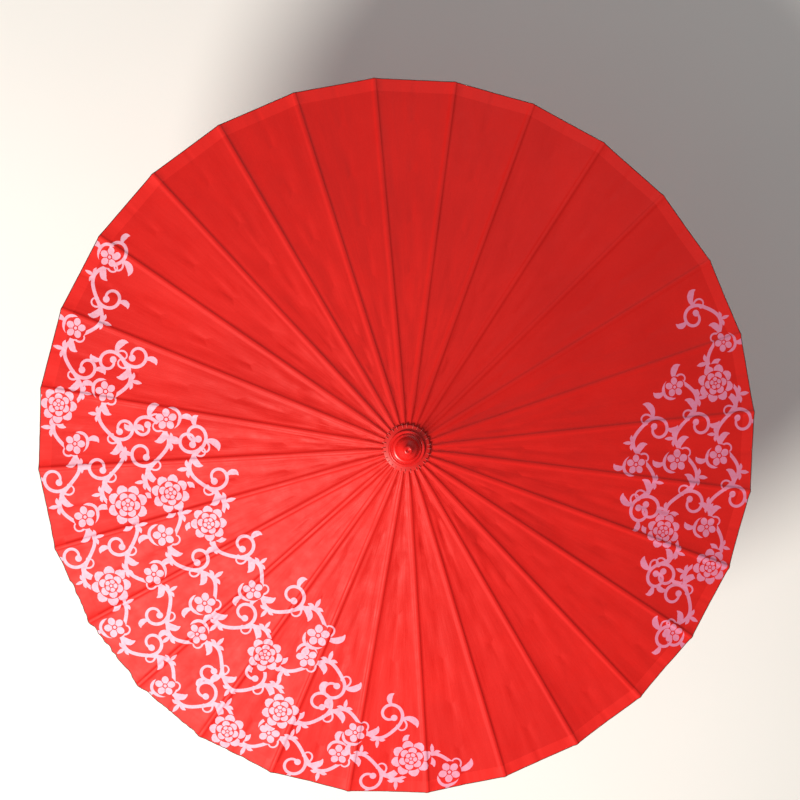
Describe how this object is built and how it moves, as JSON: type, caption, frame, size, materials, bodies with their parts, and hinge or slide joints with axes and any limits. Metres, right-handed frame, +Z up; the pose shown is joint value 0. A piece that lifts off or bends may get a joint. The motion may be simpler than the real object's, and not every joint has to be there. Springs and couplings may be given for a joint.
{
  "type": "oil paper umbrella",
  "caption": "Open oil paper umbrella: printed paper canopy on hinged bamboo ribs with stretchers, a sliding runner, a spring latch, a turned finial and a straight grip; it folds flat.",
  "frame": {"origin": "centre of the grip's bottom end", "axes": "+Z up the shaft towards the finial; +X along the first rib, on the latch's side"},
  "size_m": [0.84, 0.84, 0.5772],
  "materials": {
    "rib_bamboo": "split bamboo, oiled",
    "stretcher_bamboo": "split bamboo, oiled",
    "runner_wood": "turned wood, satin lacquer",
    "latch_bamboo": "split bamboo, oiled",
    "oiled_paper": "oiled paper, satin, with a pale floral print",
    "shaft_and_turned_wood": "bamboo shaft, lacquered turned head, finial and grip"
  },
  "bodies": {
    "shaft": {"shaft_hub_finial_grip": "shaft_and_turned_wood", "canopy": "oiled_paper"},
    "runner": {"runner": "runner_wood"},
    "runner_latch": {"runner_latch": "latch_bamboo"},
    "rib_01": {"rib_01": "rib_bamboo"},
    "stretcher_01": {"stretcher_01": "stretcher_bamboo"},
    "rib_02": {"rib_02": "rib_bamboo"},
    "stretcher_02": {"stretcher_02": "stretcher_bamboo"},
    "rib_03": {"rib_03": "rib_bamboo"},
    "stretcher_03": {"stretcher_03": "stretcher_bamboo"},
    "rib_04": {"rib_04": "rib_bamboo"},
    "stretcher_04": {"stretcher_04": "stretcher_bamboo"},
    "rib_05": {"rib_05": "rib_bamboo"},
    "stretcher_05": {"stretcher_05": "stretcher_bamboo"},
    "rib_06": {"rib_06": "rib_bamboo"},
    "stretcher_06": {"stretcher_06": "stretcher_bamboo"},
    "rib_07": {"rib_07": "rib_bamboo"},
    "stretcher_07": {"stretcher_07": "stretcher_bamboo"},
    "rib_08": {"rib_08": "rib_bamboo"},
    "stretcher_08": {"stretcher_08": "stretcher_bamboo"},
    "rib_09": {"rib_09": "rib_bamboo"},
    "stretcher_09": {"stretcher_09": "stretcher_bamboo"},
    "rib_10": {"rib_10": "rib_bamboo"},
    "stretcher_10": {"stretcher_10": "stretcher_bamboo"},
    "rib_11": {"rib_11": "rib_bamboo"},
    "stretcher_11": {"stretcher_11": "stretcher_bamboo"},
    "rib_12": {"rib_12": "rib_bamboo"},
    "stretcher_12": {"stretcher_12": "stretcher_bamboo"},
    "rib_13": {"rib_13": "rib_bamboo"},
    "stretcher_13": {"stretcher_13": "stretcher_bamboo"},
    "rib_14": {"rib_14": "rib_bamboo"},
    "stretcher_14": {"stretcher_14": "stretcher_bamboo"},
    "rib_15": {"rib_15": "rib_bamboo"},
    "stretcher_15": {"stretcher_15": "stretcher_bamboo"},
    "rib_16": {"rib_16": "rib_bamboo"},
    "stretcher_16": {"stretcher_16": "stretcher_bamboo"},
    "rib_17": {"rib_17": "rib_bamboo"},
    "stretcher_17": {"stretcher_17": "stretcher_bamboo"},
    "rib_18": {"rib_18": "rib_bamboo"},
    "stretcher_18": {"stretcher_18": "stretcher_bamboo"},
    "rib_19": {"rib_19": "rib_bamboo"},
    "stretcher_19": {"stretcher_19": "stretcher_bamboo"},
    "rib_20": {"rib_20": "rib_bamboo"},
    "stretcher_20": {"stretcher_20": "stretcher_bamboo"},
    "rib_21": {"rib_21": "rib_bamboo"},
    "stretcher_21": {"stretcher_21": "stretcher_bamboo"},
    "rib_22": {"rib_22": "rib_bamboo"},
    "stretcher_22": {"stretcher_22": "stretcher_bamboo"},
    "rib_23": {"rib_23": "rib_bamboo"},
    "stretcher_23": {"stretcher_23": "stretcher_bamboo"},
    "rib_24": {"rib_24": "rib_bamboo"},
    "stretcher_24": {"stretcher_24": "stretcher_bamboo"},
    "rib_25": {"rib_25": "rib_bamboo"},
    "stretcher_25": {"stretcher_25": "stretcher_bamboo"},
    "rib_26": {"rib_26": "rib_bamboo"},
    "stretcher_26": {"stretcher_26": "stretcher_bamboo"},
    "rib_27": {"rib_27": "rib_bamboo"},
    "stretcher_27": {"stretcher_27": "stretcher_bamboo"},
    "rib_28": {"rib_28": "rib_bamboo"},
    "stretcher_28": {"stretcher_28": "stretcher_bamboo"}
  },
  "joints": [
    {"name": "runner_slide", "type": "slide", "parent": "shaft", "child": "runner", "axis": [0, 0, 1], "range_m": [-0.24522, 0], "deforming": ["canopy", "runner_latch"]},
    {"name": "latch_press", "type": "slide", "parent": "shaft", "child": "runner_latch", "axis": [1, 0, 0], "range_m": [-0.003, 0], "stiffness_N_per_m": 400, "springref_m": 0.004},
    {"name": "rib_01_hinge", "type": "hinge", "parent": "shaft", "child": "rib_01", "pos_m": [0.015, 0, 0.548], "axis": [0, 1, 0], "range_deg": [0, 73.86]},
    {"name": "stretcher_01_hinge", "type": "hinge", "parent": "rib_01", "child": "stretcher_01", "pos_m": [0.17826, 0, 0.50061], "axis": [0, 1, 0], "range_deg": [-147.73, 0]},
    {"name": "rib_02_hinge", "type": "hinge", "parent": "shaft", "child": "rib_02", "pos_m": [0.01462, 0.00334, 0.548], "axis": [-0.2225, 0.9749, 0], "range_deg": [0, 73.86]},
    {"name": "stretcher_02_hinge", "type": "hinge", "parent": "rib_02", "child": "stretcher_02", "pos_m": [0.17379, 0.03967, 0.50061], "axis": [-0.2225, 0.9749, 0], "range_deg": [-147.73, 0]},
    {"name": "rib_03_hinge", "type": "hinge", "parent": "shaft", "child": "rib_03", "pos_m": [0.01351, 0.00651, 0.548], "axis": [-0.4339, 0.901, 0], "range_deg": [0, 73.86]},
    {"name": "stretcher_03_hinge", "type": "hinge", "parent": "rib_03", "child": "stretcher_03", "pos_m": [0.16061, 0.07734, 0.50061], "axis": [-0.4339, 0.901, 0], "range_deg": [-147.73, 0]},
    {"name": "rib_04_hinge", "type": "hinge", "parent": "shaft", "child": "rib_04", "pos_m": [0.01173, 0.00935, 0.548], "axis": [-0.6235, 0.7818, 0], "range_deg": [0, 73.86]},
    {"name": "stretcher_04_hinge", "type": "hinge", "parent": "rib_04", "child": "stretcher_04", "pos_m": [0.13937, 0.11114, 0.50061], "axis": [-0.6235, 0.7818, 0], "range_deg": [-147.73, 0]},
    {"name": "rib_05_hinge", "type": "hinge", "parent": "shaft", "child": "rib_05", "pos_m": [0.00935, 0.01173, 0.548], "axis": [-0.7818, 0.6235, 0], "range_deg": [0, 73.86]},
    {"name": "stretcher_05_hinge", "type": "hinge", "parent": "rib_05", "child": "stretcher_05", "pos_m": [0.11114, 0.13937, 0.50061], "axis": [-0.7818, 0.6235, 0], "range_deg": [-147.73, 0]},
    {"name": "rib_06_hinge", "type": "hinge", "parent": "shaft", "child": "rib_06", "pos_m": [0.00651, 0.01351, 0.548], "axis": [-0.901, 0.4339, 0], "range_deg": [0, 73.86]},
    {"name": "stretcher_06_hinge", "type": "hinge", "parent": "rib_06", "child": "stretcher_06", "pos_m": [0.07734, 0.16061, 0.50061], "axis": [-0.901, 0.4339, 0], "range_deg": [-147.73, 0]},
    {"name": "rib_07_hinge", "type": "hinge", "parent": "shaft", "child": "rib_07", "pos_m": [0.00334, 0.01462, 0.548], "axis": [-0.9749, 0.2225, 0], "range_deg": [0, 73.86]},
    {"name": "stretcher_07_hinge", "type": "hinge", "parent": "rib_07", "child": "stretcher_07", "pos_m": [0.03967, 0.17379, 0.50061], "axis": [-0.9749, 0.2225, 0], "range_deg": [-147.73, 0]},
    {"name": "rib_08_hinge", "type": "hinge", "parent": "shaft", "child": "rib_08", "pos_m": [0, 0.015, 0.548], "axis": [-1, 0, 0], "range_deg": [0, 73.86]},
    {"name": "stretcher_08_hinge", "type": "hinge", "parent": "rib_08", "child": "stretcher_08", "pos_m": [0, 0.17826, 0.50061], "axis": [-1, 0, 0], "range_deg": [-147.73, 0]},
    {"name": "rib_09_hinge", "type": "hinge", "parent": "shaft", "child": "rib_09", "pos_m": [-0.00334, 0.01462, 0.548], "axis": [-0.9749, -0.2225, 0], "range_deg": [0, 73.86]},
    {"name": "stretcher_09_hinge", "type": "hinge", "parent": "rib_09", "child": "stretcher_09", "pos_m": [-0.03967, 0.17379, 0.50061], "axis": [-0.9749, -0.2225, 0], "range_deg": [-147.73, 0]},
    {"name": "rib_10_hinge", "type": "hinge", "parent": "shaft", "child": "rib_10", "pos_m": [-0.00651, 0.01351, 0.548], "axis": [-0.901, -0.4339, 0], "range_deg": [0, 73.86]},
    {"name": "stretcher_10_hinge", "type": "hinge", "parent": "rib_10", "child": "stretcher_10", "pos_m": [-0.07734, 0.16061, 0.50061], "axis": [-0.901, -0.4339, 0], "range_deg": [-147.73, 0]},
    {"name": "rib_11_hinge", "type": "hinge", "parent": "shaft", "child": "rib_11", "pos_m": [-0.00935, 0.01173, 0.548], "axis": [-0.7818, -0.6235, 0], "range_deg": [0, 73.86]},
    {"name": "stretcher_11_hinge", "type": "hinge", "parent": "rib_11", "child": "stretcher_11", "pos_m": [-0.11114, 0.13937, 0.50061], "axis": [-0.7818, -0.6235, 0], "range_deg": [-147.73, 0]},
    {"name": "rib_12_hinge", "type": "hinge", "parent": "shaft", "child": "rib_12", "pos_m": [-0.01173, 0.00935, 0.548], "axis": [-0.6235, -0.7818, 0], "range_deg": [0, 73.86]},
    {"name": "stretcher_12_hinge", "type": "hinge", "parent": "rib_12", "child": "stretcher_12", "pos_m": [-0.13937, 0.11114, 0.50061], "axis": [-0.6235, -0.7818, 0], "range_deg": [-147.73, 0]},
    {"name": "rib_13_hinge", "type": "hinge", "parent": "shaft", "child": "rib_13", "pos_m": [-0.01351, 0.00651, 0.548], "axis": [-0.4339, -0.901, 0], "range_deg": [0, 73.86]},
    {"name": "stretcher_13_hinge", "type": "hinge", "parent": "rib_13", "child": "stretcher_13", "pos_m": [-0.16061, 0.07734, 0.50061], "axis": [-0.4339, -0.901, 0], "range_deg": [-147.73, 0]},
    {"name": "rib_14_hinge", "type": "hinge", "parent": "shaft", "child": "rib_14", "pos_m": [-0.01462, 0.00334, 0.548], "axis": [-0.2225, -0.9749, 0], "range_deg": [0, 73.86]},
    {"name": "stretcher_14_hinge", "type": "hinge", "parent": "rib_14", "child": "stretcher_14", "pos_m": [-0.17379, 0.03967, 0.50061], "axis": [-0.2225, -0.9749, 0], "range_deg": [-147.73, 0]},
    {"name": "rib_15_hinge", "type": "hinge", "parent": "shaft", "child": "rib_15", "pos_m": [-0.015, 0, 0.548], "axis": [0, -1, 0], "range_deg": [0, 73.86]},
    {"name": "stretcher_15_hinge", "type": "hinge", "parent": "rib_15", "child": "stretcher_15", "pos_m": [-0.17826, 0, 0.50061], "axis": [0, -1, 0], "range_deg": [-147.73, 0]},
    {"name": "rib_16_hinge", "type": "hinge", "parent": "shaft", "child": "rib_16", "pos_m": [-0.01462, -0.00334, 0.548], "axis": [0.2225, -0.9749, 0], "range_deg": [0, 73.86]},
    {"name": "stretcher_16_hinge", "type": "hinge", "parent": "rib_16", "child": "stretcher_16", "pos_m": [-0.17379, -0.03967, 0.50061], "axis": [0.2225, -0.9749, 0], "range_deg": [-147.73, 0]},
    {"name": "rib_17_hinge", "type": "hinge", "parent": "shaft", "child": "rib_17", "pos_m": [-0.01351, -0.00651, 0.548], "axis": [0.4339, -0.901, 0], "range_deg": [0, 73.86]},
    {"name": "stretcher_17_hinge", "type": "hinge", "parent": "rib_17", "child": "stretcher_17", "pos_m": [-0.16061, -0.07734, 0.50061], "axis": [0.4339, -0.901, 0], "range_deg": [-147.73, 0]},
    {"name": "rib_18_hinge", "type": "hinge", "parent": "shaft", "child": "rib_18", "pos_m": [-0.01173, -0.00935, 0.548], "axis": [0.6235, -0.7818, 0], "range_deg": [0, 73.86]},
    {"name": "stretcher_18_hinge", "type": "hinge", "parent": "rib_18", "child": "stretcher_18", "pos_m": [-0.13937, -0.11114, 0.50061], "axis": [0.6235, -0.7818, 0], "range_deg": [-147.73, 0]},
    {"name": "rib_19_hinge", "type": "hinge", "parent": "shaft", "child": "rib_19", "pos_m": [-0.00935, -0.01173, 0.548], "axis": [0.7818, -0.6235, 0], "range_deg": [0, 73.86]},
    {"name": "stretcher_19_hinge", "type": "hinge", "parent": "rib_19", "child": "stretcher_19", "pos_m": [-0.11114, -0.13937, 0.50061], "axis": [0.7818, -0.6235, 0], "range_deg": [-147.73, 0]},
    {"name": "rib_20_hinge", "type": "hinge", "parent": "shaft", "child": "rib_20", "pos_m": [-0.00651, -0.01351, 0.548], "axis": [0.901, -0.4339, 0], "range_deg": [0, 73.86]},
    {"name": "stretcher_20_hinge", "type": "hinge", "parent": "rib_20", "child": "stretcher_20", "pos_m": [-0.07734, -0.16061, 0.50061], "axis": [0.901, -0.4339, 0], "range_deg": [-147.73, 0]},
    {"name": "rib_21_hinge", "type": "hinge", "parent": "shaft", "child": "rib_21", "pos_m": [-0.00334, -0.01462, 0.548], "axis": [0.9749, -0.2225, 0], "range_deg": [0, 73.86]},
    {"name": "stretcher_21_hinge", "type": "hinge", "parent": "rib_21", "child": "stretcher_21", "pos_m": [-0.03967, -0.17379, 0.50061], "axis": [0.9749, -0.2225, 0], "range_deg": [-147.73, 0]},
    {"name": "rib_22_hinge", "type": "hinge", "parent": "shaft", "child": "rib_22", "pos_m": [0, -0.015, 0.548], "axis": [1, 0, 0], "range_deg": [0, 73.86]},
    {"name": "stretcher_22_hinge", "type": "hinge", "parent": "rib_22", "child": "stretcher_22", "pos_m": [0, -0.17826, 0.50061], "axis": [1, 0, 0], "range_deg": [-147.73, 0]},
    {"name": "rib_23_hinge", "type": "hinge", "parent": "shaft", "child": "rib_23", "pos_m": [0.00334, -0.01462, 0.548], "axis": [0.9749, 0.2225, 0], "range_deg": [0, 73.86]},
    {"name": "stretcher_23_hinge", "type": "hinge", "parent": "rib_23", "child": "stretcher_23", "pos_m": [0.03967, -0.17379, 0.50061], "axis": [0.9749, 0.2225, 0], "range_deg": [-147.73, 0]},
    {"name": "rib_24_hinge", "type": "hinge", "parent": "shaft", "child": "rib_24", "pos_m": [0.00651, -0.01351, 0.548], "axis": [0.901, 0.4339, 0], "range_deg": [0, 73.86]},
    {"name": "stretcher_24_hinge", "type": "hinge", "parent": "rib_24", "child": "stretcher_24", "pos_m": [0.07734, -0.16061, 0.50061], "axis": [0.901, 0.4339, 0], "range_deg": [-147.73, 0]},
    {"name": "rib_25_hinge", "type": "hinge", "parent": "shaft", "child": "rib_25", "pos_m": [0.00935, -0.01173, 0.548], "axis": [0.7818, 0.6235, 0], "range_deg": [0, 73.86]},
    {"name": "stretcher_25_hinge", "type": "hinge", "parent": "rib_25", "child": "stretcher_25", "pos_m": [0.11114, -0.13937, 0.50061], "axis": [0.7818, 0.6235, 0], "range_deg": [-147.73, 0]},
    {"name": "rib_26_hinge", "type": "hinge", "parent": "shaft", "child": "rib_26", "pos_m": [0.01173, -0.00935, 0.548], "axis": [0.6235, 0.7818, 0], "range_deg": [0, 73.86]},
    {"name": "stretcher_26_hinge", "type": "hinge", "parent": "rib_26", "child": "stretcher_26", "pos_m": [0.13937, -0.11114, 0.50061], "axis": [0.6235, 0.7818, 0], "range_deg": [-147.73, 0]},
    {"name": "rib_27_hinge", "type": "hinge", "parent": "shaft", "child": "rib_27", "pos_m": [0.01351, -0.00651, 0.548], "axis": [0.4339, 0.901, 0], "range_deg": [0, 73.86]},
    {"name": "stretcher_27_hinge", "type": "hinge", "parent": "rib_27", "child": "stretcher_27", "pos_m": [0.16061, -0.07734, 0.50061], "axis": [0.4339, 0.901, 0], "range_deg": [-147.73, 0]},
    {"name": "rib_28_hinge", "type": "hinge", "parent": "shaft", "child": "rib_28", "pos_m": [0.01462, -0.00334, 0.548], "axis": [0.2225, 0.9749, 0], "range_deg": [0, 73.86]},
    {"name": "stretcher_28_hinge", "type": "hinge", "parent": "rib_28", "child": "stretcher_28", "pos_m": [0.17379, -0.03967, 0.50061], "axis": [0.2225, 0.9749, 0], "range_deg": [-147.73, 0]}
  ],
  "couplings": [
    {"joint": "rib_01_hinge", "follows": "runner_slide", "rad_per_m": -5.2535},
    {"joint": "stretcher_01_hinge", "follows": "runner_slide", "rad_per_m": 10.507},
    {"joint": "rib_02_hinge", "follows": "runner_slide", "rad_per_m": -5.2535},
    {"joint": "stretcher_02_hinge", "follows": "runner_slide", "rad_per_m": 10.507},
    {"joint": "rib_03_hinge", "follows": "runner_slide", "rad_per_m": -5.2535},
    {"joint": "stretcher_03_hinge", "follows": "runner_slide", "rad_per_m": 10.507},
    {"joint": "rib_04_hinge", "follows": "runner_slide", "rad_per_m": -5.2535},
    {"joint": "stretcher_04_hinge", "follows": "runner_slide", "rad_per_m": 10.507},
    {"joint": "rib_05_hinge", "follows": "runner_slide", "rad_per_m": -5.2535},
    {"joint": "stretcher_05_hinge", "follows": "runner_slide", "rad_per_m": 10.507},
    {"joint": "rib_06_hinge", "follows": "runner_slide", "rad_per_m": -5.2535},
    {"joint": "stretcher_06_hinge", "follows": "runner_slide", "rad_per_m": 10.507},
    {"joint": "rib_07_hinge", "follows": "runner_slide", "rad_per_m": -5.2535},
    {"joint": "stretcher_07_hinge", "follows": "runner_slide", "rad_per_m": 10.507},
    {"joint": "rib_08_hinge", "follows": "runner_slide", "rad_per_m": -5.2535},
    {"joint": "stretcher_08_hinge", "follows": "runner_slide", "rad_per_m": 10.507},
    {"joint": "rib_09_hinge", "follows": "runner_slide", "rad_per_m": -5.2535},
    {"joint": "stretcher_09_hinge", "follows": "runner_slide", "rad_per_m": 10.507},
    {"joint": "rib_10_hinge", "follows": "runner_slide", "rad_per_m": -5.2535},
    {"joint": "stretcher_10_hinge", "follows": "runner_slide", "rad_per_m": 10.507},
    {"joint": "rib_11_hinge", "follows": "runner_slide", "rad_per_m": -5.2535},
    {"joint": "stretcher_11_hinge", "follows": "runner_slide", "rad_per_m": 10.507},
    {"joint": "rib_12_hinge", "follows": "runner_slide", "rad_per_m": -5.2535},
    {"joint": "stretcher_12_hinge", "follows": "runner_slide", "rad_per_m": 10.507},
    {"joint": "rib_13_hinge", "follows": "runner_slide", "rad_per_m": -5.2535},
    {"joint": "stretcher_13_hinge", "follows": "runner_slide", "rad_per_m": 10.507},
    {"joint": "rib_14_hinge", "follows": "runner_slide", "rad_per_m": -5.2535},
    {"joint": "stretcher_14_hinge", "follows": "runner_slide", "rad_per_m": 10.507},
    {"joint": "rib_15_hinge", "follows": "runner_slide", "rad_per_m": -5.2535},
    {"joint": "stretcher_15_hinge", "follows": "runner_slide", "rad_per_m": 10.507},
    {"joint": "rib_16_hinge", "follows": "runner_slide", "rad_per_m": -5.2535},
    {"joint": "stretcher_16_hinge", "follows": "runner_slide", "rad_per_m": 10.507},
    {"joint": "rib_17_hinge", "follows": "runner_slide", "rad_per_m": -5.2535},
    {"joint": "stretcher_17_hinge", "follows": "runner_slide", "rad_per_m": 10.507},
    {"joint": "rib_18_hinge", "follows": "runner_slide", "rad_per_m": -5.2535},
    {"joint": "stretcher_18_hinge", "follows": "runner_slide", "rad_per_m": 10.507},
    {"joint": "rib_19_hinge", "follows": "runner_slide", "rad_per_m": -5.2535},
    {"joint": "stretcher_19_hinge", "follows": "runner_slide", "rad_per_m": 10.507},
    {"joint": "rib_20_hinge", "follows": "runner_slide", "rad_per_m": -5.2535},
    {"joint": "stretcher_20_hinge", "follows": "runner_slide", "rad_per_m": 10.507},
    {"joint": "rib_21_hinge", "follows": "runner_slide", "rad_per_m": -5.2535},
    {"joint": "stretcher_21_hinge", "follows": "runner_slide", "rad_per_m": 10.507},
    {"joint": "rib_22_hinge", "follows": "runner_slide", "rad_per_m": -5.2535},
    {"joint": "stretcher_22_hinge", "follows": "runner_slide", "rad_per_m": 10.507},
    {"joint": "rib_23_hinge", "follows": "runner_slide", "rad_per_m": -5.2535},
    {"joint": "stretcher_23_hinge", "follows": "runner_slide", "rad_per_m": 10.507},
    {"joint": "rib_24_hinge", "follows": "runner_slide", "rad_per_m": -5.2535},
    {"joint": "stretcher_24_hinge", "follows": "runner_slide", "rad_per_m": 10.507},
    {"joint": "rib_25_hinge", "follows": "runner_slide", "rad_per_m": -5.2535},
    {"joint": "stretcher_25_hinge", "follows": "runner_slide", "rad_per_m": 10.507},
    {"joint": "rib_26_hinge", "follows": "runner_slide", "rad_per_m": -5.2535},
    {"joint": "stretcher_26_hinge", "follows": "runner_slide", "rad_per_m": 10.507},
    {"joint": "rib_27_hinge", "follows": "runner_slide", "rad_per_m": -5.2535},
    {"joint": "stretcher_27_hinge", "follows": "runner_slide", "rad_per_m": 10.507},
    {"joint": "rib_28_hinge", "follows": "runner_slide", "rad_per_m": -5.2535},
    {"joint": "stretcher_28_hinge", "follows": "runner_slide", "rad_per_m": 10.507}
  ]
}
